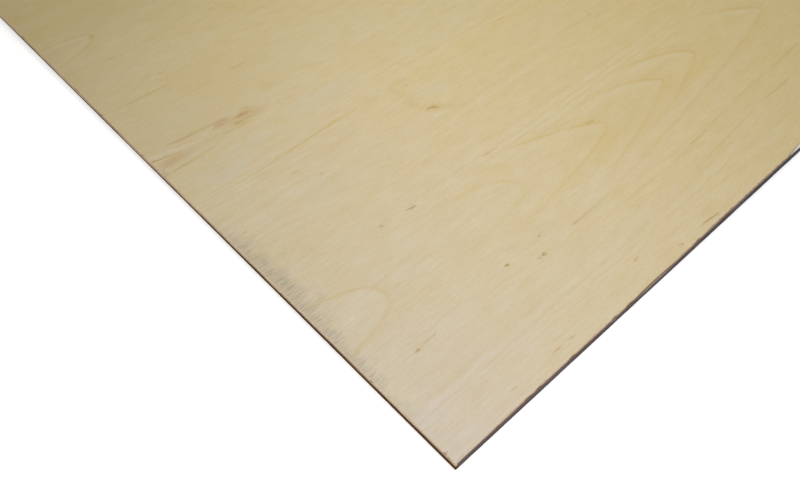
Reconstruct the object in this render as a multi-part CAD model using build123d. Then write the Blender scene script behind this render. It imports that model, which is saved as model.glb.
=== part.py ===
from build123d import *
import os

# Driving dimensions, in millimetres
sheet_length = 2440.0  # along the face grain
sheet_width = 1220.0  # across the face grain
sheet_thickness = 12.0
corner_radius = 1.0  # handling wear on the four upright corners
arris_break = 0.3  # sanded break where each face meets the sawn edges


# Trimmed outline, centred on the origin with its length along X
def trimmed_outline():
    with BuildSketch() as outline:
        RectangleRounded(sheet_length, sheet_width, corner_radius)
    return outline.sketch


# Sheet lying flat with its back face on z = 0
def plywood_sheet():
    with BuildPart() as sheet:
        add(trimmed_outline())
        extrude(amount=sheet_thickness)
        back_face = sheet.faces().sort_by(Axis.Z)[0]
        show_face = sheet.faces().sort_by(Axis.Z)[-1]
        chamfer(back_face.edges() + show_face.edges(), arris_break)
    return sheet.part


os.makedirs("parts", exist_ok=True)
export_step(plywood_sheet(), "parts/plywood_sheet.step")
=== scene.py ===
import math
import random
import bmesh
import bpy
from mathutils import Matrix, Vector, noise


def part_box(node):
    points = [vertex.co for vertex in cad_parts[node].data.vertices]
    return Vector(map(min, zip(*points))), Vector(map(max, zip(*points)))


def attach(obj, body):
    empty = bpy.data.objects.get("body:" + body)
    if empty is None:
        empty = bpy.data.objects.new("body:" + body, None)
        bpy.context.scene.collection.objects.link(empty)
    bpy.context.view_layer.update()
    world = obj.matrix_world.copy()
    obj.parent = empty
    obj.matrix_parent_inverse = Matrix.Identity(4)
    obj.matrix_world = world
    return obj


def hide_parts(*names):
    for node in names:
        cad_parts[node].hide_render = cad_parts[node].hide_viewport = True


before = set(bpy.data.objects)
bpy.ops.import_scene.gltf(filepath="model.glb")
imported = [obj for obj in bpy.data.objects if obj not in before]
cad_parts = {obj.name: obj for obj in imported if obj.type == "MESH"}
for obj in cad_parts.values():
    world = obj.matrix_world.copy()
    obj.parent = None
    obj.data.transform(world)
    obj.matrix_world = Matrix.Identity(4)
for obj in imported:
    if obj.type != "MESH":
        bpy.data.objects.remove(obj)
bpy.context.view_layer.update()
low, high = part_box("plywood_sheet")
sheetLength, sheetWidth, sheetThick = (high[i] - low[i] for i in range(3))
mm = 0.001
print("sheet", [round(s / mm, 2) for s in (sheetLength, sheetWidth, sheetThick)], "mm")

scene = bpy.context.scene
scene.view_settings.view_transform = "Standard"

# All that is left to chance starts from these
seeds = {
    "face": 1,
    "back": 41,
    "sawnEdge": 61,
    "tornFibre": 71,
    "faceChips": 3,
    "backChips": 8,
    "faceRim": 2.0,
    "backRim": 7.0,
}
seedStep = (7.3, 3.1, 0.0)  # how far apart two seeds read the noise


# A shader socket that plain Python maths can be written with
class Wire:
    def __init__(self, finish, socket):
        self.finish = finish
        self.socket = socket

    def math(self, operation, first, second=0.0):
        return self.finish.node("Math", {"operation": operation}, {0: first, 1: second})

    def __add__(self, other):
        return self.math("ADD", self, other)

    def __sub__(self, other):
        return self.math("SUBTRACT", self, other)

    def __rsub__(self, other):
        return self.math("SUBTRACT", other, self)

    def __mul__(self, other):
        return self.math("MULTIPLY", self, other)

    def __truediv__(self, other):
        return self.math("DIVIDE", self, other)

    def __rtruediv__(self, other):
        return self.math("DIVIDE", other, self)

    def __pow__(self, other):
        return self.math("POWER", self, other)

    def __rpow__(self, other):
        return self.math("POWER", other, self)

    __radd__ = __add__
    __rmul__ = __mul__

    def call(self, operation, second=0.0):
        return self.math(operation, self, second)

    # Another output of the same node
    def output(self, key):
        return Wire(self.finish, self.socket.node.outputs[key])

    # least at start, most at end, smooth between them and level past them
    def fade(self, start, end, most=1.0, least=0.0):
        turned = start > end
        return self.finish.node(
            "MapRange",
            {"interpolation_type": "SMOOTHSTEP", "clamp": False},
            {"Value": self, "From Min": min(start, end), "From Max": max(start, end),
             "To Min": most if turned else least, "To Max": least if turned else most},
        )

    # Bell round a place, 1 at its middle
    def bell(self, place, spread):
        off = (self - place) / spread
        return (off * off * -1.0).call("EXPONENT")


# The nodes of one material or world
class Finish:
    def __init__(self, owner):
        self.owner = owner
        owner.use_nodes = True
        self.tree = owner.node_tree
        self.tree.nodes.clear()

    def node(self, kind, settings=None, inputs=None, output=0):
        made = self.tree.nodes.new("ShaderNode" + kind)
        for key, value in (settings or {}).items():
            if key == "stops":
                while len(made.color_ramp.elements) < len(value):
                    made.color_ramp.elements.new(1.0)
                for stop, (place, colour) in zip(made.color_ramp.elements, value):
                    stop.position = place
                    stop.color = (*colour, 1.0)
            elif key == "ramp":
                made.color_ramp.interpolation = value
            else:
                setattr(made, key, value)
        for key, value in (inputs or {}).items():
            if isinstance(value, Wire):
                self.tree.links.new(value.socket, made.inputs[key])
            else:
                made.inputs[key].default_value = value
        return Wire(self, made.outputs[output]) if made.outputs else None

    def vector(self, operation, *values, output="Vector"):
        return self.node("VectorMath", {"operation": operation}, dict(enumerate(values)), output)

    # Place on the sheet from its near corner: as a vector, then along, across and up
    def sheetPlace(self):
        spot = self.node("Mapping", {}, {
            "Vector": self.node("TexCoord", output="Object"),
            "Location": (sheetLength / 2, sheetWidth / 2, 0.0),
        })
        along = self.node("SeparateXYZ", {}, {"Vector": spot})
        return spot, along, along.output("Y"), along.output("Z")

    # Smooth noise about 0. Its kind: waves a metre along and across the grain, detail, roughness
    def grain(self, spot, kind, seed, output="Fac"):
        along, across, detail, rough = kind
        placed = self.node("Mapping", {}, {
            "Vector": spot,
            "Location": [step * seed for step in seedStep],
            "Scale": (along, across, 1.0),
        })
        return self.node(
            "TexNoise",
            {"noise_dimensions": "2D", "normalize": False},
            {"Vector": placed, "Scale": 1.0, "Detail": detail, "Roughness": rough},
            output,
        )

    # The place moved this way and that by noise, as far as reach says
    def swayed(self, spot, kind, seed, reach):
        return self.vector("MULTIPLY_ADD", self.grain(spot, kind, seed, "Color"), reach, spot)

    def mix(self, amount, first, second, blend="MIX"):
        colours = [c if isinstance(c, Wire) else (*c, 1.0) for c in (first, second)]
        return self.node(
            "Mix",
            {"data_type": "RGBA", "blend_type": blend, "clamp_factor": True},
            {0: amount, 6: colours[0], 7: colours[1]},  # this node's sockets for colours share their names
            output=2,
        )

    # Colours a surface by the darker or the paler tint, as the grain value goes from -1 to 1
    def tinted(self, colour, value, dark, pale):
        return self.mix(1.0, colour, self.mix(value * 0.5 + 0.5, dark, pale), "MULTIPLY")

    # Soft oval marks, each along, across, half length, half width (mm), turn (degrees) and strength
    def marks(self, spot, rows):
        found = None
        for along, across, halfLength, halfWidth, turn, strength in rows:
            local = self.node("Mapping", {"vector_type": "TEXTURE"}, {
                "Vector": spot,
                "Location": (along * mm, across * mm, 0.0),
                "Rotation": (0.0, 0.0, math.radians(turn)),
                "Scale": (halfLength * mm, halfWidth * mm, 1.0),
            })
            inside = self.node("TexGradient", {"gradient_type": "SPHERICAL"}, {"Vector": local}, "Fac")
            mark = inside.fade(0.0, marking["full"], strength)
            found = mark if found is None else found.call("MAXIMUM", mark)
        return found

    def surface(self, colour, rough, height, depth, gloss=0.2):
        normal = self.node("Bump", {}, {"Height": height, "Strength": 1.0, "Distance": depth})
        shader = self.node("BsdfPrincipled", {}, {
            "Base Color": colour, "Roughness": rough, "Specular IOR Level": gloss, "Normal": normal,
        })
        self.node("OutputMaterial", {}, {"Surface": shader})
        return self.owner


# Birch leaf
birch = {
    "warm": (0.645, 0.514, 0.243),
    "sheenTone": (0.645, 0.572, 0.484),  # towards the near corner: painted sheen, the light's reflection painted in as a paler, greyer tone
    "fadeAlong": 1.57,  # how much faster it fades along the sheet than across it
    "fadeReach": 1193 * mm,
    "fadeBend": 0.48,
    "fadeBands": 0.08,  # how far the bands shift it
    "darkGrain": (0.93, 0.90, 0.80),
    "paleGrain": (1.06, 1.08, 1.18),
    "yellower": (0.990, 0.980, 0.942),
    "greyer": (1.010, 1.020, 1.058),
    "latewood": (0.590, 0.420, 0.140),
    "honey": (0.565, 0.415, 0.150),
    "umber": (0.430, 0.320, 0.115),
    "russet": (0.510, 0.340, 0.120),
    "rose": (0.490, 0.285, 0.155),
    "fleck": (0.400, 0.210, 0.060),
    # cooler, paler tone: the wood's own in small patches, painted sheen in the broadest
    "coolAndSheen": (0.610, 0.548, 0.400),
    "pale": (0.700, 0.635, 0.470),
    "swing": 7 * mm,  # how far the grain swings aside
    "swingGrain": (1.2, 6.0, 2.0, 0.5),
    "drift": (6 * mm, 1.3 * mm, 0.0),  # how far marks wander with the fibres
    "driftGrain": (60.0, 260.0, 2.0, 0.5),
    "roughness": 0.6,
    "mottledRoughness": 0.05,
    "relief": 0.05 * mm,
    "brushedRelief": 0.5,  # share of it
}

# The figures of the wood: waves a metre along and across the grain, detail, roughness
figureGrains = {
    "bands": (1.6, 20.0, 2.0, 0.5),
    "mottle": (26.0, 85.0, 2.0, 0.5),
    "fibres": (36.0, 340.0, 2.0, 0.6),
    "pores": (200.0, 380.0, 1.0, 0.5),
    "brushed": (4.0, 600.0, 1.0, 0.5),
    "cast": (24.0, 50.0, 2.0, 0.5),
    "cross": (18.0, 34.0, 2.0, 0.5),
    "level": (0.6, 8.0, 1.0, 0.5),
}

# How strongly they show. Each reach is from the near corner
figureShares = {
    "fibres": 0.40,
    "pores": 0.32,
    "bands": 0.18,
    "mottle": 0.29,
    "broadReach": (50 * mm, 350 * mm),  # the bands and the mottle grow over it
    "broadLeast": 0.35,
    "brushedReach": (280 * mm, 60 * mm),  # the brushed lines grow over it, towards the corner
    "brushedMost": 0.40,
    "brushedLeast": 0.06,
    "beyondReach": (950 * mm, 1300 * mm),  # the picture shows about a metre
    "beyondBands": 0.6,
    "beyondLevel": 0.5,
}

# Growth rings out of the picture: their tips stand on the middle line of each flame, and both arms run back
rings = {
    "flameAxis": 190 * mm,  # across the sheet, from the near long edge
    "flamePitch": 714 * mm,  # from one flame to the next
    # along the sheet (mm), how dark
    "tips": [(81, 0.9), (297, 0.6), (468, 0.85), (599, 0.6), (686, 0.75), (846, 0.9), (985, 0.5)],
    "repeat": 1060,  # mm
    "nose": 22 * mm,  # half width of a tip
    "lean": 3.0,  # how far an arm runs back for each step aside
    "line": 3.4,  # mm
    "wander": (200 * mm, 60 * mm, 0.0),
    "wanderGrain": (1.1, 1.6, 2.0, 0.5),
    "upperReach": (85 * mm, 15 * mm),  # aside from the middle line: where an arm ends and where it is full
    "lowerReach": (-120 * mm, -10 * mm),
}

# Growth rings in the picture, in mm: tip (along, across), upper arm, lower arm, half width of the line.
# An arm's numbers: how far aside it is where it has run back by armBack, how squarely it bends,
# how far aside it is seen, how dark
armBack = 100
flames = [
    ((82, 187), (49, 2.5, 60, 0.70), (41, 2.5, 56, 0.60), 2.5),
    ((302, 199), (42, 3.0, 52, 0.72), (34, 3.0, 34, 0.50), 3.6),
    ((468, 197), (48, 1.5, 72, 1.2), (32, 1.9, 52, 0.9), 2.3),
    ((599, 197), (49, 1.8, 60, 1.25), (37, 1.3, 80, 0.75), 2.5),
    ((684, 203), (51, 2.2, 66, 1.45), (38, 1.25, 60, 0.8), 2.8),
    ((852, 196), (65, 1.75, 62, 1.5), (26, 1.35, 110, 0.75), 2.5),
    ((81, 906), (33, 5.0, 38, 1.3), (49, 1.6, 60, 0.9), 3.0),
]

# How a ring is drawn
ringLook = {
    "inner": (-10, 8),  # the paler wood inside the line: its middle and its spread, mm
    "outer": (8, 7),  # the warmer wood outside
    "tint": 0.10,  # strength of both
    "tintBeyond": 0.15,  # and what it gains out of the picture
    "dark": 0.55,
    "whole": 0.8,  # how whole a line is, and how far the cross figure breaks it up
    "broken": 0.6,
    "crossWobble": 3.5 * mm,
    "mottleWobble": 1.5 * mm,
    "leastAside": 0.01 * mm,  # the slope of an arm can't be worked out on the middle line itself
    "straight": 0.22,  # strength of the soft straight rings between the flames
    "straightCount": 5.0,
    "straightSpread": 0.2,
    "straightLift": 0.3,
}

# Marks in the picture: along, across, half length, half width (mm), turn (degrees), strength
faceMarks = {
    # The broadest of these patches, with half lengths of 150 mm and more, are painted sheen along a ridge of
    # light; the smaller ones are the wood's own cooler tone
    "coolAndSheen": [
        (246, 515, 85, 34, 0, 0.30), (110, 500, 70, 24, 0, 0.28), (66, 480, 60, 32, -12, 0.42),
        (128, 365, 40, 26, -10, 0.36), (361, 411, 38, 18, -10, 0.22), (76, 624, 60, 22, -4, 0.18),
        (340, 640, 190, 95, 0, 0.16), (500, 550, 170, 90, 0, 0.20), (367, 406, 18, 8, -27, 0.30),
        (620, 410, 150, 60, 0, 0.12),
    ],
    "pale": [
        (14, 568, 22, 4.5, -9, 0.40), (38, 562.5, 22, 5.0, -22, 0.64), (62, 556, 18, 5.0, -10, 0.38),
        (82, 561, 16, 5.5, 20, 0.32), (12, 90, 20, 44, 0, 0.22), (40, 190, 42, 24, 0, 0.14),
        (328, 367, 9, 5, 0, 0.30),
    ],
    "honey": [
        (173, 452, 132, 3.8, 3.4, 0.50), (123, 660, 44, 5.0, 5, 0.24), (200, 666, 28, 6.0, 0, 0.34),
        (275, 588, 46, 5.5, -18, 0.18), (361, 574, 64, 5.0, -2, 0.18), (207, 591, 18, 9.0, -33, 0.28),
        (375, 617, 24, 4.0, -72, 0.18), (325, 438, 32, 6.0, -80, 0.34), (322, 402, 22, 8.0, -72, 0.30),
        (336, 382, 30, 10, -38, 0.46), (352, 370, 14, 6.0, -34, 0.40), (756, 110, 60, 4.2, 4, 0.58),
        (659, 107, 66, 2.6, 3, 0.56), (530, 97, 90, 2.5, 5.5, 0.46), (399, 92, 70, 2.5, -1.5, 0.30),
        (680, 79, 46, 2.6, 1, 0.52), (553, 72, 100, 2.5, 4.5, 0.38), (633, 375, 46, 3.6, -1, 0.20),
        (62, 344, 48, 4.0, -10, 0.22), (134, 541, 22, 5.0, -3, 0.44), (44, 527.5, 58, 4.4, 4, 0.42),
        (180, 665, 150, 85, -6, 0.10), (110, 960, 150, 80, 0, 0.10), (500, 185, 150, 70, 0, 0.10),
        (312, 658, 26, 4.0, 0, 0.16), (90, 560, 100, 36, -2, 0.14), (292, 252, 60, 11, -39, 0.10),
        (68, 702, 78, 5.5, 1, 0.22), (42, 656, 48, 5.0, -5, 0.16), (163, 612, 30, 5.0, -1, 0.14),
        (321, 265, 18, 4.0, -7, 0.24), (585, 111, 8, 5, 0, 0.20), (157, 15.5, 12, 1.6, -4, 0.40),
        (175, 15, 12, 1.5, -3, 0.32),
    ],
    "umber": [
        (68, 702, 76, 3.2, 1, 0.15), (123, 660, 42, 3.0, 5, 0.06), (200, 666, 26, 3.6, 0, 0.12),
        (275, 588, 44, 3.4, -18, 0.06), (110, 572, 38, 4.6, -1, 0.24), (126, 550, 8, 2.8, -3, 0.34),
        (108, 543, 16, 3.4, -5, 0.32), (84, 548, 26, 3.0, -8, 0.20), (30, 525.5, 42, 2.4, 3, 0.16),
        (44, 577, 20, 2.4, -13, 0.26), (80, 575.5, 30, 2.2, 4, 0.24), (71, 829, 12, 3.4, 4, 0.30),
        (82, 912, 7, 5.0, -29, 0.30), (331, 112, 48, 2.6, 2, 0.26), (308, 111, 20, 2.0, 0, 0.50),
        (354, 340, 18, 9.0, -10, 0.08), (22, 540, 30, 14, -15, 0.14), (100, 585, 190, 70, -2, 0.05),
        # The last umber mark, on the face along the rim of the big chip at 611 mm, is a painted shadow of
        # the chipped leaf's rim
        (152, 572, 10, 3.6, -5, 0.36), (8, 900, 20, 220, 0, 0.05), (588, 3.2, 20, 1.2, 4.5, 0.85),
    ],
    "russet": [
        (142, 556, 46, 17, -3, 0.30), (149, 561, 24, 13, 0, 0.34), (157, 557, 14, 8.0, -5, 0.36),
        (150, 551, 20, 5.5, 4, 0.34), (105, 562, 13, 6.0, 18, 0.30), (62, 575.5, 46, 3.2, -3, 0.24),
        (110, 572, 34, 5.0, -1, 0.20), (24, 557, 30, 3.0, -14, 0.38), (26, 546, 28, 10, -18, 0.24),
        (19, 539, 21, 3.6, -4, 0.22), (709, 133, 23, 3.4, 8, 0.14), (734, 169, 19, 3.4, 10, 0.12),
        (15, 1066, 20, 26, 0, 0.14), (8, 920, 26, 230, 0, 0.06),
    ],
    "rose": [
        (143, 561, 11, 6.0, -5, 0.56), (110, 566, 17, 9.0, 12, 0.34), (30, 544, 36, 9.0, 0, 0.18),
        (8, 561, 12, 3.4, -14, 0.60), (2.5, 530, 3.5, 12, 0, 0.45), (62, 575.5, 44, 2.4, -3, 0.20),
        (2.0, 13, 2.6, 1.8, 0, 0.85), (1.5, 9, 2.0, 1.3, 0, 0.60), (1.5, 5, 1.8, 1.3, 0, 0.50),
        (9, 2.4, 4.0, 1.4, 0, 0.45), (16, 3.2, 2.5, 1.2, 0, 0.30),
    ],
    "fleck": [
        (245, 105, 3.4, 2.4, 25, 0.66), (236, 105, 6.0, 2.0, 5, 0.32), (260, 127, 2.6, 1.8, 0, 0.50),
        (201, 123, 2.8, 2.1, 0, 0.85), (354, 10, 2.6, 1.8, 0, 0.50), (306, 31, 3.0, 2.2, 0, 0.45),
        (58, 110, 3.2, 2.2, 15, 0.46), (74, 112, 15, 1.6, 8, 0.24), (95, 15.5, 3.6, 1.2, -8, 0.42),
        (157, 15.5, 10, 1.1, -4, 0.34), (175, 15, 10, 1.0, -3, 0.24), (184, 261, 8.0, 1.7, -12, 0.54),
        (139, 264, 4.5, 2.0, -10, 0.42), (322, 264, 13, 2.2, -8, 0.30), (457, 212, 9.0, 2.2, -20, 0.36),
        (145, 385, 4.0, 1.8, -8, 0.38), (122, 412, 4.0, 1.8, -8, 0.33), (344, 447, 3.5, 2.2, 0, 0.38),
        (262, 840, 8.0, 3.0, 0, 0.25), (110, 735, 7.0, 2.6, 0, 0.28), (559, 469, 30, 1.8, -6, 0.22),
        (530, 547, 25, 1.8, 3, 0.18), (413, 9, 22, 1.8, -8, 0.56), (665, 376, 8.0, 2.4, -10, 0.30),
        (336, 382, 14, 2.8, -31, 0.58), (127, 549.5, 7.5, 2.2, -7, 0.50), (136, 561.5, 4.5, 2.6, 12, 0.44),
        (50, 576, 24, 1.6, -12, 0.18), (24, 370, 3.0, 2.0, 0, 0.34), (125, 452, 4.0, 1.6, 5, 0.25),
    ],
}
marking = {
    "full": 0.65,  # share of the way in from its rim at which a mark is full
    "even": 0.95,  # the flecks are even, and the other marks are broken up by these figures
    "mottle": 0.5,
    "fibres": 0.35,
}
pinHalo = {"longest": 6.5, "wider": 1.9, "strength": 0.5}  # mm, and shares of the pin's own
knot = {"along": 337 * mm, "across": 382 * mm, "reach": 16 * mm, "push": 0.55}


# Figure of the wood, each kind about 0, with the grain swung aside a little and round the knot
def woodFigure(finish, spot, u, v, seed, photographed):
    aside = finish.grain(spot, birch["swingGrain"], seed) * birch["swing"]
    if photographed:
        away = finish.vector("DISTANCE", spot, (knot["along"], knot["across"], 0.0), output="Value")
        aside = aside - (v - knot["across"]) * away.bell(0.0, knot["reach"]) * knot["push"]
    bent = finish.node("CombineXYZ", {}, {"X": u, "Y": v + aside})
    return {name: finish.grain(bent, kind, seed + place)
            for place, (name, kind) in enumerate(figureGrains.items(), 1)}


# Warm birch that turns paler and greyer towards the near corner: painted sheen, the light's reflection
# painted into the colour
def paintedCornerSheen(finish, spot, bands):
    drawn = finish.vector("MULTIPLY", spot, (birch["fadeAlong"], 1.0, 0.0))
    far = finish.vector("LENGTH", drawn, output="Value")
    share = 1.0 - (far / birch["fadeReach"]) ** birch["fadeBend"]
    return finish.mix(share + bands * birch["fadeBands"], birch["warm"], birch["sheenTone"])


# A ring's dark line, the paler wood inside it and the warmer wood outside,
# from the distance along the sheet and the slope of the line
def ringTones(distance, slope, shown, line):
    away = distance / (slope * slope + 1.0) ** 0.5
    bells = ((0, line), ringLook["inner"], ringLook["outer"])
    return [away.bell(place * mm, spread * mm) * shown for place, spread in bells]


def growthRings(finish, spot, seed, wobble):
    # The flames wander, so that no two look alike
    placed = finish.swayed(spot, rings["wanderGrain"], seed, rings["wander"])
    u = finish.node("SeparateXYZ", {}, {"Vector": placed})
    v = u.output("Y")
    row = ((v - rings["flameAxis"]) / rings["flamePitch"] + 0.5).call("FLOOR")
    aside = v - rings["flameAxis"] - row * rings["flamePitch"]
    reach = (aside * aside + rings["nose"] ** 2) ** 0.5
    field = u + (reach - rings["nose"]) * rings["lean"] + wobble
    share = (field / (rings["repeat"] * mm)).call("FRACT")
    # Each stretch of the ramp holds the tip that it is nearest to, and how dark that ring is
    tips = [(tip / rings["repeat"], dark) for tip, dark in rings["tips"]]
    starts = [0.0] + [(a[0] + b[0]) / 2 for a, b in zip(tips, tips[1:])]
    stops = [(start, (tip, dark, 0.0)) for start, (tip, dark) in zip(starts, tips)]
    nearest = finish.node("ValToRGB", {"stops": stops, "ramp": "CONSTANT"}, {"Fac": share})
    tip = finish.node("SeparateColor", {}, {"Color": nearest})
    shown = aside.fade(*rings["upperReach"]) * aside.fade(*rings["lowerReach"]) * tip.output("Green")
    distance = (share - tip) * (rings["repeat"] * mm)
    return ringTones(distance, aside / reach * rings["lean"], shown, rings["line"])


def flameRings(u, v, wobble):
    found = None
    for (along, across), upper, lower, line in flames:
        aside = v - across * mm
        above = aside.call("GREATER_THAN", 0.0)
        width, bend, reach, dark = (above * (up - down) + down for up, down in zip(upper, lower))
        step = aside.call("ABSOLUTE").call("MAXIMUM", ringLook["leastAside"])
        back = (step / (width * mm)) ** bend * (armBack * mm)
        shown = (step / (reach * mm)).fade(1.0, 0.5) * dark  # an arm fades over the outer half of its reach
        tones = ringTones(u - along * mm + back + wobble, back * bend / step, shown, line)
        found = [old.call("MAXIMUM", new) for old, new in zip(found, tones)] if found else tones
    return found


def ringedWood(finish, colour, spot, u, v, seed, figure, beyond, photographed):
    look = ringLook
    wobble = figure["cross"] * look["crossWobble"] + figure["mottle"] * look["mottleWobble"]
    tones = growthRings(finish, spot, seed, wobble)
    if photographed:
        tones = [far * beyond + near for far, near in zip(tones, flameRings(u, v, wobble))]
    line, inner, outer = tones
    tint = beyond * look["tintBeyond"] + look["tint"]
    colour = finish.mix(inner * tint, colour, birch["pale"])
    colour = finish.mix(outer * tint, colour, birch["honey"])
    broken = (figure["cross"] * look["broken"] + look["whole"]).call("MINIMUM", 1.0)
    colour = finish.mix(line * broken * look["dark"], colour, birch["latewood"])
    straight = (figure["level"] * look["straightCount"]).call("FRACT").bell(0.5, look["straightSpread"])
    straight = straight * (figure["bands"] + look["straightLift"])
    return finish.mix(straight * look["straight"], colour, birch["honey"])


# Pin marks over the part of the sheet that has none listed
pinMark = {
    "cells": (6.0, 24.0, 1.0),  # a metre along and across, with room for one mark in each
    "size": (0.045, 0.01),  # where a mark ends and where it is full, in cells
    "chance": (0.55, 0.95),  # cells below the first stay empty, those past the second hold a full mark
    "strength": 0.6,
    "reach": (950 * mm, 1200 * mm),  # from the near corner
}


def pinMarks(finish, colour, loose, corner, photographed):
    cells = finish.node("Mapping", {}, {"Vector": loose, "Scale": pinMark["cells"]})
    pin = finish.node("TexVoronoi", {"voronoi_dimensions": "2D"}, {"Vector": cells, "Scale": 1.0})
    chance = finish.node("SeparateColor", {}, {"Color": pin.output("Color")})
    pins = pin.fade(*pinMark["size"]) * chance.fade(*pinMark["chance"], pinMark["strength"])
    if photographed:
        pins = pins * corner.fade(*pinMark["reach"])
    return finish.mix(pins, colour, birch["fleck"])


# Damp stain along the near end: a soft grey with fine darker hairs, and a paler strip beside the edge.
# Pairs of distances: where it starts and where it is full
stain = {
    "run": ((20 * mm, 150 * mm), (430 * mm, 340 * mm)),  # across the sheet, from each end of the stain
    "reach": 10 * mm,
    "deepest": 285 * mm,
    "deepestSpread": 80 * mm,
    "deeper": 11 * mm,
    "grey": (0.62, 0.65, 0.74),  # what is left of the colour under it
    "fill": (1.3, 0.3),  # in reaches
    "fillStrength": 0.34,
    "fillEdge": (0.0, 2 * mm),
    "smoke": (45.0, 40.0, 3.0, 0.5),
    "fillSmoke": 0.5,
    "ragged": (20.0, 420.0, 1.0, 0.5),
    "fillRagged": 0.45,
    "hairs": (60.0, 560.0, 1.0, 0.5),
    "hairTones": (-0.1, 0.5),
    "hairReach": (1.8, 0.7),  # in reaches
    "hairSmoke": 0.9,
    "hairEdge": (0.0, 1.5 * mm),
    "hairStrength": 0.46,
    "lean": (6 * mm, 2.5 * mm, 0.0),  # how far the hairs lean this way and that
    "leanGrain": (30.0, 60.0, 2.0, 0.5),
    "rim": (0.640, 0.590, 0.500),
    "rimEdge": (2.5 * mm, 1 * mm),
    "rimStrength": 0.16,
}


def dampStain(finish, colour, spot, u, v, seed):
    run = v.fade(*stain["run"][0]) * v.fade(*stain["run"][1])
    smoke = finish.grain(spot, stain["smoke"], seed)
    ragged = finish.grain(spot, stain["ragged"], seed + 1)
    depth = u / (v.bell(stain["deepest"], stain["deepestSpread"]) * stain["deeper"] + stain["reach"])
    fill = depth - smoke * stain["fillSmoke"] - ragged * stain["fillRagged"]
    fill = fill.fade(*stain["fill"], stain["fillStrength"]) * u.fade(*stain["fillEdge"])
    leaning = finish.swayed(spot, stain["leanGrain"], seed + 3, stain["lean"])
    hairs = finish.grain(leaning, stain["hairs"], seed + 2).fade(*stain["hairTones"])
    hairs = hairs * (depth - smoke * stain["hairSmoke"]).fade(*stain["hairReach"])
    hairs = hairs * u.fade(*stain["hairEdge"])
    damp = (fill + hairs * stain["hairStrength"]) * run
    colour = finish.mix(damp, colour, finish.mix(1.0, colour, stain["grey"], "MULTIPLY"))
    return finish.mix(u.fade(*stain["rimEdge"], stain["rimStrength"]) * run, colour, stain["rim"])


# Fibres broken along the arris: brown on the long edges, paler on the ends.
# Widths: where a strip ends and where it is full
arris = {
    "grain": (130.0, 130.0, 3.0, 0.7),
    "end": (0.720, 0.480, 0.300),
    "endWidth": (0.8 * mm, 0.2 * mm),
    "endRagged": 0.4 * mm,
    "endStrength": 0.6,
    "edge": (0.500, 0.310, 0.180),
    "edgeWidth": (1.9 * mm, 0.4 * mm),
    "edgeRagged": 0.6 * mm,
    "edgeStrength": 0.8,
    "edgeReach": (15 * mm, 90 * mm),  # from the near corner, over which it grows
    "edgeLeast": 0.25,
    "dirtyReach": (300 * mm, 450 * mm),  # past it the long edges are dirtier, and the brown is wider
    "dirtyWider": 0.8 * mm,
    "grime": (0.235, 0.165, 0.125),
    "grimeWidth": (1.9 * mm, 0.8 * mm),
    "grimeStrength": 0.9,
}


def wornArris(finish, colour, spot, u, v, seed):
    cross = finish.grain(spot, arris["grain"], seed)
    toEdge = sheetWidth / 2 - (v - sheetWidth / 2).call("ABSOLUTE") + cross * arris["edgeRagged"]
    toEnd = sheetLength / 2 - (u - sheetLength / 2).call("ABSOLUTE") + cross * arris["endRagged"]
    colour = finish.mix(toEnd.fade(*arris["endWidth"], arris["endStrength"]), colour, arris["end"])
    dirty = u.fade(*arris["dirtyReach"])
    brown = (toEdge - dirty * arris["dirtyWider"]).fade(*arris["edgeWidth"], arris["edgeStrength"])
    brown = brown * u.fade(*arris["edgeReach"], least=arris["edgeLeast"])
    colour = finish.mix(brown, colour, arris["edge"])
    grime = toEdge.fade(*arris["grimeWidth"], arris["grimeStrength"]) * dirty
    return finish.mix(grime, colour, arris["grime"])


def markedFace(finish, colour, loose, figure):
    wider, weaker = pinHalo["wider"], pinHalo["strength"]
    halos = [
        (along, across, half * wider, width * wider, turn, strength * weaker)
        for along, across, half, width, turn, strength in faceMarks["fleck"] if half < pinHalo["longest"]
    ]
    colour = finish.mix(finish.marks(loose, halos), colour, birch["honey"])
    ragged = figure["mottle"] * marking["mottle"] + figure["fibres"] * marking["fibres"] + marking["even"]
    for tone, rows in faceMarks.items():
        amount = finish.marks(loose, rows)
        colour = finish.mix(amount if tone == "fleck" else amount * ragged, colour, birch[tone])
    return colour


def birchFace(name, seed, photographed):
    finish = Finish(bpy.data.materials.new(name))
    spot, u, v = finish.sheetPlace()[:3]
    corner = finish.vector("LENGTH", spot, output="Value")
    figure = woodFigure(finish, spot, u, v, seed, photographed)
    # Painted sheen: paler and greyer towards the near corner
    colour = paintedCornerSheen(finish, spot, figure["bands"]) if photographed else birch["warm"]
    colour = finish.tinted(colour, figure["cast"], birch["yellower"], birch["greyer"])

    # The handled corner shows long brushed lines and less of the broad figure
    share = figureShares
    handled = corner.fade(*share["brushedReach"], share["brushedMost"], share["brushedLeast"])
    fine = figure["fibres"] * share["fibres"] + figure["pores"] * share["pores"]
    fine = fine + figure["brushed"] * handled
    broad = figure["bands"] * share["bands"] + figure["mottle"] * share["mottle"]
    broad = broad * corner.fade(*share["broadReach"], least=share["broadLeast"])
    beyond = corner.fade(*share["beyondReach"]) if photographed else 1.0
    bolder = figure["bands"] * share["beyondBands"] + figure["level"] * share["beyondLevel"]
    broad = broad + bolder * beyond
    colour = finish.tinted(colour, broad + fine, birch["darkGrain"], birch["paleGrain"])
    colour = ringedWood(finish, colour, spot, u, v, seed + 15, figure, beyond, photographed)

    loose = finish.swayed(spot, birch["driftGrain"], seed + 9, birch["drift"])
    if photographed:
        colour = markedFace(finish, colour, loose, figure)
        colour = dampStain(finish, colour, spot, u, v, seed + 10)
    colour = pinMarks(finish, colour, loose, corner, photographed)
    colour = wornArris(finish, colour, spot, u, v, seed + 14)
    rough = figure["mottle"] * birch["mottledRoughness"] + birch["roughness"]
    height = figure["brushed"] * birch["brushedRelief"] + figure["fibres"]
    return finish.surface(colour, rough, height, birch["relief"])


faceMaterial = birchFace("birchFace", seeds["face"], True)
backMaterial = birchFace("birchBack", seeds["back"], False)
print("leaf finishes made")

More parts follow.
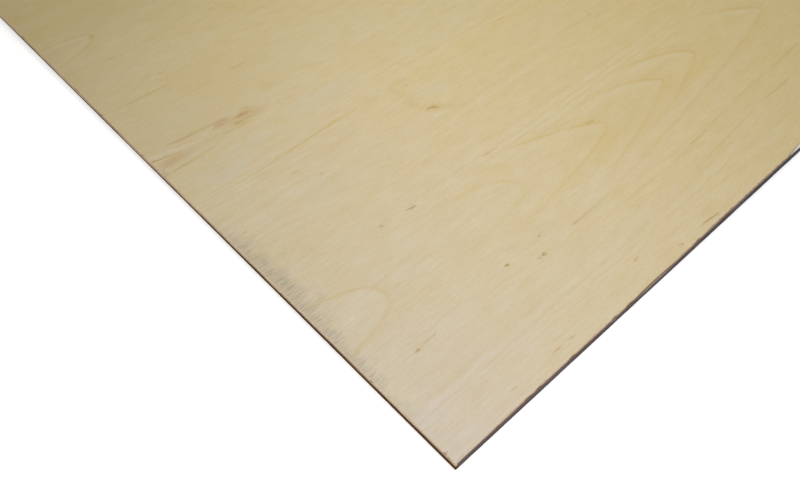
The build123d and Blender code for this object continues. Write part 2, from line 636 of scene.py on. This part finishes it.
# Face and back leaves: thin veneers with chipped long edges and nicked ends
leaf = {
    "thick": 0.6 * mm,
    "cell": 40 * mm,
    "edgeStep": 1.25 * mm,
    "arris": 0.12 * mm,
    "setBack": 0.05 * mm,
    "ragged": 0.25 * mm,
    "raggedWaves": 140,  # a metre
    # middle, half length and depth of each chip, mm
    "faceChips": {
        "nearEdge": [(96, 6, 0.8), (111, 4, 0.9), (160, 5, 1.0), (226, 4, 1.1), (252, 7, 0.8),
                     (296, 36, 1.3), (375, 7, 1.5), (429, 9, 1.2), (611, 42, 3.2)],
        "nearEnd": [(8, 2, 0.5), (14, 2.5, 0.7), (115, 2.5, 0.7), (584, 4, 0.6), (706, 5, 0.6),
                    (789, 9, 0.6), (995, 7, 0.7)],
    },
    "photographed": {"nearEdge": 660, "nearEnd": 1100},  # mm along which the chips are listed
    "chipEvery": 130,  # mm of edge for each chip elsewhere
    "chipHalf": (2.5, 14),
    "chipDepth": (0.5, 1.4),
    "chipBluntness": 0.7,  # below 1 a chip has blunter ends
}
corePly = {
    "count": 7,
    "cell": 40 * mm,
    "edgeStep": 4 * mm,
    "rim": 6 * mm,  # strip of the flat faces that a chipped leaf may bare
    "glueLine": 0.12 * mm,  # half height of the groove at a glue line
    "glueDepth": 0.2 * mm,
    "sawMarks": 0.072 * mm,  # mean depth
    "sawWaves": 60,  # a metre
    "sawShift": 5.0,  # how far apart two plies read the noise
}
corePly["thick"] = (sheetThick - 2 * leaf["thick"]) / corePly["count"]


# Sawn edge of the plies between the leaves
plyEdge = {
    # tones from the bottom of the edge, 0, to its top, 1
    # On the ends, the top stops are brighter than the face: paler wood at the arris, made brighter still by
    # a painted highlight
    "endTones": [(0.05, (0.060, 0.030, 0.011)), (0.48, (0.085, 0.040, 0.012)), (0.61, (0.260, 0.130, 0.048)),
                 (0.70, (0.580, 0.340, 0.165)), (0.82, (0.930, 0.720, 0.490))],
    "longTones": [(0.06, (0.085, 0.076, 0.081)), (0.30, (0.120, 0.104, 0.109)),
                  (0.66, (0.165, 0.124, 0.120)), (0.95, (0.270, 0.180, 0.145))],
    "endFrom": (3 * mm, 1 * mm),  # from the end itself: where its tones start and where they are full
    "endCleaner": (50 * mm, 800 * mm),  # from the near corner, over which the end gets cleaner
    "endCleanest": 0.30,
    "longDirtier": (300 * mm, 500 * mm),  # and over which the long edge gets dirtier
    "longDirtiest": 0.6,
    "patches": (14.0, 70.0, 3.0, 0.5),
    "strands": (90.0, 1600.0, 2.0, 0.5),
    "pores": (900.0, 1100.0, 1.0, 0.5),
    "patchShift": 0.07,
    "patchShade": 0.7,
    "figureShade": 0.5,
    "plyShade": 0.3,
    "darkShade": (0.62, 0.60, 0.60),
    "paleShade": (1.38, 1.38, 1.40),
    "glue": (0.050, 0.034, 0.030),
    "glueHeight": (0.22 * mm, 0.05 * mm),
    "glueStrength": 0.7,
    "bare": (0.680, 0.640, 0.580),
    # where the near long edge shows paler wood: along, up, half length, half height (mm), turn, strength
    "bareMarks": [(298, 9.5, 44, 3.4, 0, 0.36), (226, 9.0, 6, 2.5, 0, 0.40), (378, 4.0, 9, 3.0, 0, 0.18),
                  (455, 8.0, 20, 3.0, 0, 0.12)],
    "bareEdge": (4 * mm, 2 * mm),  # from that edge, so that no other shows them
    "bareEven": 0.9,
    "bareStrands": 0.3,
    "roughness": 0.7,
    "patchyRoughness": 0.08,
    "relief": 0.06 * mm,
    "gloss": 0.05,
}


def sawnEdge(name, seed):
    edge = plyEdge
    finish = Finish(bpy.data.materials.new(name))
    u, v, z = finish.sheetPlace()[1:]
    fromMiddle = (u - sheetLength / 2).call("ABSOLUTE")
    onEnd = fromMiddle.fade(*[sheetLength / 2 - inside for inside in edge["endFrom"]])
    run = finish.node("CombineXYZ", {}, {"X": u + (v - u) * onEnd, "Y": z})
    patches = finish.grain(run, edge["patches"], seed)
    strands = finish.grain(run, edge["strands"], seed + 1)
    pores = finish.grain(run, edge["pores"], seed + 2)
    height = z / sheetThick + patches * edge["patchShift"]
    endHeight = height + v.fade(*edge["endCleaner"], edge["endCleanest"])
    longHeight = height - u.fade(*edge["longDirtier"], edge["longDirtiest"])
    endTone = finish.node("ValToRGB", {"stops": edge["endTones"]}, {"Fac": endHeight})
    longTone = finish.node("ValToRGB", {"stops": edge["longTones"]}, {"Fac": longHeight})
    colour = finish.mix(onEnd, longTone, endTone)
    # Every second ply shows its end grain, the others their strands
    rise = (z - leaf["thick"]) / corePly["thick"]
    cross = (rise.call("FLOOR").call("MODULO", 2.0) - onEnd).call("ABSOLUTE")
    figure = strands + (pores - strands) * cross
    shade = patches * edge["patchShade"] + figure * edge["figureShade"] + (cross - 0.5) * edge["plyShade"]
    colour = finish.tinted(colour, shade, edge["darkShade"], edge["paleShade"])
    line = (rise - rise.call("ROUND")).call("ABSOLUTE") * corePly["thick"]
    colour = finish.mix(line.fade(*edge["glueHeight"], edge["glueStrength"]), colour, edge["glue"])
    bare = finish.marks(run, edge["bareMarks"]) * v.fade(*edge["bareEdge"])
    colour = finish.mix(bare * (strands * edge["bareStrands"] + edge["bareEven"]), colour, edge["bare"])
    rough = patches * edge["patchyRoughness"] + edge["roughness"]
    return finish.surface(colour, rough, figure, edge["relief"], edge["gloss"])


# Torn wood under a chipped leaf
tornPly = {
    "tone": (0.330, 0.170, 0.095),
    "strands": (700.0, 60.0, 3.0, 0.5),
    "darkShade": (0.7, 0.7, 0.7),
    "paleShade": (1.3, 1.3, 1.3),
    "fresh": (0.770, 0.790, 0.760),
    # where a chip bares fresh wood: along, across, half length, half width (mm), turn, strength
    "freshMarks": [(611, 0.0, 52, 7.0, 0, 1.0)],
    "freshEven": 0.95,
    "freshStrands": 0.2,
    "roughness": 0.75,
    "relief": 0.1 * mm,
}


def tornFibre(name, seed):
    torn = tornPly
    finish = Finish(bpy.data.materials.new(name))
    spot = finish.sheetPlace()[0]
    strands = finish.grain(spot, torn["strands"], seed)
    colour = finish.tinted(torn["tone"], strands, torn["darkShade"], torn["paleShade"])
    fresh = finish.marks(spot, torn["freshMarks"]) * (strands * torn["freshStrands"] + torn["freshEven"])
    colour = finish.mix(fresh, colour, torn["fresh"])
    return finish.surface(colour, torn["roughness"], strands, torn["relief"], plyEdge["gloss"])


inward = {"nearEdge": (0, 1, 0), "farEdge": (0, -1, 0), "nearEnd": (1, 0, 0), "farEnd": (-1, 0, 0)}
sheetCorner = {"radius": 1.0 * mm, "steps": 3}
flatNormal = 0.9  # a face is flat if its normal is more upright than this
touching = 0.001 * mm  # nearer than this is the same height


# Flat grid with rounded corners, its rim cut into short steps and, where asked for, into a strip of its own
def trimmedSheet(z, cell, step, rim=0.0):
    bm = bmesh.new()
    place = Matrix.Translation((0, 0, z)) @ Matrix.Diagonal((sheetLength, sheetWidth, 1, 1))
    bmesh.ops.create_grid(
        bm, x_segments=round(sheetLength / cell), y_segments=round(sheetWidth / cell),
        size=0.5, matrix=place,
    )
    for turn in inward.values() if rim else ():
        half = Vector((sheetLength / 2, sheetWidth / 2, 0))
        cut = Vector([-t * (h - rim) for t, h in zip(turn, half)])
        bmesh.ops.bisect_plane(bm, geom=bm.verts[:] + bm.edges[:] + bm.faces[:], plane_co=cut, plane_no=turn)
    corners = [vert for vert in bm.verts if len(vert.link_edges) == 2]
    bmesh.ops.bevel(
        bm, geom=corners, offset=sheetCorner["radius"], offset_type="OFFSET", segments=sheetCorner["steps"],
        profile=0.5, affect="VERTICES", material=-1,
    )
    for edge in [e for e in bm.edges if e.is_boundary and e.calc_length() > 2 * step]:
        bmesh.ops.bisect_edges(bm, edges=[edge], cuts=round(edge.calc_length() / step) - 1)
    return bm


# Gives a flat sheet its thickness, and finds the faces that were raised
def thicken(bm, rise):
    made = bmesh.ops.extrude_face_region(bm, geom=bm.faces[:])["geom"]
    raised = [part for part in made if isinstance(part, bmesh.types.BMVert)]
    bmesh.ops.translate(bm, verts=raised, vec=(0, 0, rise))
    return [part for part in made if isinstance(part, bmesh.types.BMFace)]


def isFlat(face):
    return abs(face.normal.z) > flatNormal


def sideVerts(bm):
    bm.normal_update()
    return [vert for vert in bm.verts if not all(isFlat(face) for face in vert.link_faces)]


# The side a point is nearest to, and how far along that side it is
def sideOf(co):
    toEdge = sheetWidth / 2 - abs(co.y)
    toEnd = sheetLength / 2 - abs(co.x)
    if toEdge < toEnd:
        return ("nearEdge" if co.y < 0 else "farEdge"), co.x + sheetLength / 2
    return ("nearEnd" if co.x < 0 else "farEnd"), co.y + sheetWidth / 2


def moveIn(vert, side, depth):
    vert.co += Vector(inward[side]) * depth


# Chips as listed where the picture shows them, and by chance along the rest
def chipsFor(handMade, seed):
    rng = random.Random(seed)
    chips = {}
    for side in inward:
        run = sheetWidth if side.endswith("End") else sheetLength
        chips[side] = list(handMade.get(side, []))
        start = leaf["photographed"].get(side, 0) if chips[side] else 0
        for _ in range(round((run / mm - start) / leaf["chipEvery"])):
            middle = rng.uniform(start, run / mm)
            chips[side].append((middle, rng.uniform(*leaf["chipHalf"]), rng.uniform(*leaf["chipDepth"])))
    return chips


def chipDepth(along, chips):
    depth = 0.0
    for middle, half, deep in chips:
        share = abs(along / mm - middle) / half
        if share < 1.0:
            depth = max(depth, deep * mm * (1.0 - share**2) ** leaf["chipBluntness"])
    return depth


def finishPiece(name, bm, materials):
    bmesh.ops.recalc_face_normals(bm, faces=bm.faces[:])
    mesh = bpy.data.meshes.new(name)
    bm.to_mesh(mesh)
    bm.free()
    for material in materials:
        mesh.materials.append(material)
    piece = bpy.data.objects.new(name, mesh)
    scene.collection.objects.link(piece)
    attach(piece, "root")
    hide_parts("plywood_sheet")
    print(name, len(mesh.polygons), "faces")


# A leaf's own map for its baked picture: the show face, its sides folded out round it,
# and the glued face in a strip
leafMap = {
    "left": 0.012,
    "wide": 0.976,
    "low": 0.035,
    "tall": 0.953,
    "fold": 0.008,
    "strip": 0.002,
    "stripTall": 0.016,
}


def mapLeaf(bm, inner, outer):
    plan = leafMap
    layer = bm.loops.layers.uv.new("OFBake")
    for face in bm.faces:
        glued = all(abs(vert.co.z - inner) < touching for vert in face.verts)
        for loop in face.loops:
            co = loop.vert.co
            along = plan["left"] + (co.x / sheetLength + 0.5) * plan["wide"]
            across = co.y / sheetWidth + 0.5
            fold = Vector(inward[sideOf(co)[0]]) * plan["fold"] * abs(co.z - outer) / leaf["thick"]
            if glued:
                loop[layer].uv = (along, plan["strip"] + across * plan["stripTall"])
            else:
                loop[layer].uv = (along - fold.x, plan["low"] + across * plan["tall"] - fold.y)


# Leaf from its glued face (z at inner) to its show face (z at outer)
def veneerLeaf(name, inner, outer, material, chips, seed):
    bm = trimmedSheet(inner, leaf["cell"], leaf["edgeStep"])
    waves = leaf["raggedWaves"]
    for vert in [v for v in bm.verts if v.is_boundary]:
        side, along = sideOf(vert.co)
        ragged = noise.noise(Vector((vert.co.x * waves, vert.co.y * waves, seed)))
        depth = leaf["setBack"] + leaf["ragged"] * max(0.0, ragged) + chipDepth(along, chips[side])
        moveIn(vert, side, depth)
    show = thicken(bm, outer - inner)
    bmesh.ops.inset_region(bm, faces=show, thickness=leaf["arris"], depth=0.0, use_boundary=True)
    rim = [vert for vert in sideVerts(bm) if abs(vert.co.z - outer) < touching]
    bmesh.ops.translate(bm, verts=rim, vec=(0, 0, math.copysign(leaf["arris"], inner - outer)))
    mapLeaf(bm, inner, outer)
    finishPiece(name, bm, [material])


# Heights of the rings of the core's edge: plies, counted up from 0, with a groove (-1) at each glue line
def ringHeights():
    base, ply, half = leaf["thick"], corePly["thick"], corePly["glueLine"]
    rows = [(base, -1)]
    for i in range(corePly["count"]):
        rows += [(base + i * ply + half, i), (base + (i + 1) * ply - half, i), (base + (i + 1) * ply, -1)]
    return rows


# The core's own map: its sides in short rows, with the rims of the flat faces folded out,
# and the rest of these in two strips
coreMap = {
    "left": 0.012,
    "wide": 0.976,
    "rowCells": 11,
    "rowRoom": 1.03,  # a row of the map is this much longer than its cells
    "firstRow": {"nearEdge": 0, "farEdge": 6, "nearEnd": 12, "farEnd": 15},
    "rowPitch": 0.052,
    "sideTall": 0.030,
    "rimTall": 0.008,
    "rimRoom": 1.5,  # a flat face that reaches in past this many rims goes into a strip
    "strips": (0.942, 0.972),  # lower flat face, upper flat face
    "stripTall": 0.022,
}


def mapCore(bm, bottom, top):
    plan = coreMap
    layer = bm.loops.layers.uv.new("OFBake")
    for face in bm.faces:
        side, reached = sideOf(face.calc_center_median())
        across = 1 if side.endswith("Edge") else 0
        sizes = (sheetLength, sheetWidth)
        run = sizes[1 - across]
        rowRun = plan["rowCells"] * run / round(run / corePly["cell"])
        row = int(reached / rowRun)
        base = plan["rimTall"] + (plan["firstRow"][side] + row) * plan["rowPitch"]
        depths = [sizes[across] / 2 + vert.co.dot(Vector(inward[side])) for vert in face.verts]
        hidden = isFlat(face) and max(depths) > plan["rimRoom"] * corePly["rim"]
        upper = face.calc_center_median().z > (bottom + top) / 2
        for loop, depth in zip(face.loops, depths):
            co = loop.vert.co
            if hidden:
                along = co.x / sheetLength + 0.5
                up = plan["strips"][upper] + (co.y / sheetWidth + 0.5) * plan["stripTall"]
            else:
                reach = co[1 - across] + run / 2 - row * rowRun
                along = reach / (plan["rowCells"] * corePly["cell"] * plan["rowRoom"])
                rim = depth / corePly["rim"] * plan["rimTall"] if isFlat(face) else 0.0
                up = base + (co.z - bottom) / (top - bottom) * plan["sideTall"] + (rim if upper else -rim)
            loop[layer].uv = (plan["left"] + along * plan["wide"], up)


def coreBlock(name, materials):
    rows = ringHeights()
    bottom, top = rows[0][0], rows[-1][0]
    rise = top - bottom
    bm = trimmedSheet(bottom, corePly["cell"], corePly["edgeStep"], corePly["rim"])
    thicken(bm, rise)
    upright = [e for e in bm.edges if abs(e.verts[0].co.z - e.verts[1].co.z) > rise / 2]
    bmesh.ops.subdivide_edges(bm, edges=upright, cuts=len(rows) - 2)
    waves = corePly["sawWaves"]
    for vert in sideVerts(bm):
        height, ply = rows[round((vert.co.z - bottom) / rise * (len(rows) - 1))]
        side = sideOf(vert.co)[0]
        saw = noise.noise(Vector((vert.co.x * waves, vert.co.y * waves, ply * corePly["sawShift"])))
        depth = corePly["glueDepth"] if ply < 0 else corePly["sawMarks"] * (1.0 + saw)
        moveIn(vert, side, depth)
        vert.co.z = height
    bm.normal_update()
    for face in bm.faces:
        face.material_index = int(isFlat(face))
    mapCore(bm, bottom, top)
    finishPiece(name, bm, materials)


faceChips = chipsFor(leaf["faceChips"], seeds["faceChips"])
veneerLeaf("face_leaf", sheetThick - leaf["thick"], sheetThick, faceMaterial, faceChips, seeds["faceRim"])
veneerLeaf("back_leaf", leaf["thick"], 0.0, backMaterial, chipsFor({}, seeds["backChips"]), seeds["backRim"])
edgeMaterials = [sawnEdge("sawnEdge", seeds["sawnEdge"]), tornFibre("tornFibre", seeds["tornFibre"])]
coreBlock("core_plies", edgeMaterials)


# Camera over the near corner, as the picture was taken
shot = {
    "fromCorner": Vector((-186.6 * mm, -186.7 * mm, 592.3 * mm)),
    "pitch": math.radians(48.11),
    "heading": math.radians(51.92),
    "roll": math.radians(4.94),
    "lens": 31.5,
    "sensor": 36.0,
    "nearest": 10 * mm,
}


def placeCamera():
    pitch, heading, roll = shot["pitch"], shot["heading"], shot["roll"]
    flat = math.cos(pitch)
    ahead = Vector((math.cos(heading) * flat, math.sin(heading) * flat, -math.sin(pitch)))
    level = Vector((math.sin(heading), -math.cos(heading), 0.0))
    below = ahead.cross(level)
    right = math.cos(roll) * level + math.sin(roll) * below
    down = math.cos(roll) * below - math.sin(roll) * level
    data = bpy.data.cameras.new("camera")
    data.sensor_width = shot["sensor"]
    data.lens = shot["lens"]
    data.clip_start = shot["nearest"]
    camera = bpy.data.objects.new("camera", data)
    nearCorner = Vector((-sheetLength / 2, -sheetWidth / 2, sheetThick))
    turn = Matrix((right, -down, -ahead)).transposed().to_4x4()
    camera.matrix_world = Matrix.Translation(nearCorner + shot["fromCorner"]) @ turn
    scene.collection.objects.link(camera)
    scene.camera = camera


placeCamera()
print("camera placed")

# Floor and light
studio = {
    "floorSize": 30.0,
    "floorHeight": -0.5 * mm,
    "floorTone": (0.86, 0.86, 0.86, 1.0),
    "floorLift": 0.54,  # what the lens sees on top of the lit floor, so that it comes out white
    "worldTone": (1.0, 1.0, 1.0, 1.0),
    "worldLevel": 0.345,
    "lamps": {
        "key": {"place": (-1.18, -0.79, 0.76), "turn": 63, "size": (2.4, 0.3), "power": 7.5},
        "fill": {"place": (0.92, -0.10, 1.21), "turn": 0, "size": (1.6, 1.1), "power": 8.5},
    },
}


# 1 for rays that should meet the plain white surroundings
def seenDirectly(finish):
    camera = finish.node("LightPath", output="Is Camera Ray")
    other = camera.output("Is Glossy Ray").call("MAXIMUM", camera.output("Is Transmission Ray"))
    return camera.call("MAXIMUM", other)


def layFloor():
    bm = bmesh.new()
    place = Matrix.Translation((0, 0, studio["floorHeight"]))
    bmesh.ops.create_grid(bm, x_segments=1, y_segments=1, size=studio["floorSize"] / 2, matrix=place)
    mesh = bpy.data.meshes.new("floor")
    bm.to_mesh(mesh)
    bm.free()
    finish = Finish(bpy.data.materials.new("floor"))
    matt = finish.node("BsdfDiffuse", {}, {"Color": studio["floorTone"]})
    lift = finish.node("Emission", {}, {"Strength": seenDirectly(finish) * studio["floorLift"]})
    both = finish.node("AddShader", {}, {0: matt, 1: lift})
    finish.node("OutputMaterial", {}, {"Surface": both})
    mesh.materials.append(finish.owner)
    floor = bpy.data.objects.new("floor", mesh)
    scene.collection.objects.link(floor)


def lightStudio():
    finish = Finish(bpy.data.worlds.new("studio"))
    scene.world = finish.owner
    level = seenDirectly(finish) * (1.0 - studio["worldLevel"]) + studio["worldLevel"]
    sky = finish.node("Background", {}, {"Color": studio["worldTone"], "Strength": level})
    finish.node("OutputWorld", {}, {"Surface": sky})
    for name, lamp in studio["lamps"].items():
        data = bpy.data.lights.new(name, "AREA")
        data.shape = "RECTANGLE"
        data.size, data.size_y = lamp["size"]
        data.energy = lamp["power"]
        placed = bpy.data.objects.new(name, data)
        placed.location = lamp["place"]
        placed.rotation_euler.z = math.radians(lamp["turn"])
        scene.collection.objects.link(placed)


layFloor()
lightStudio()
print("studio lit")
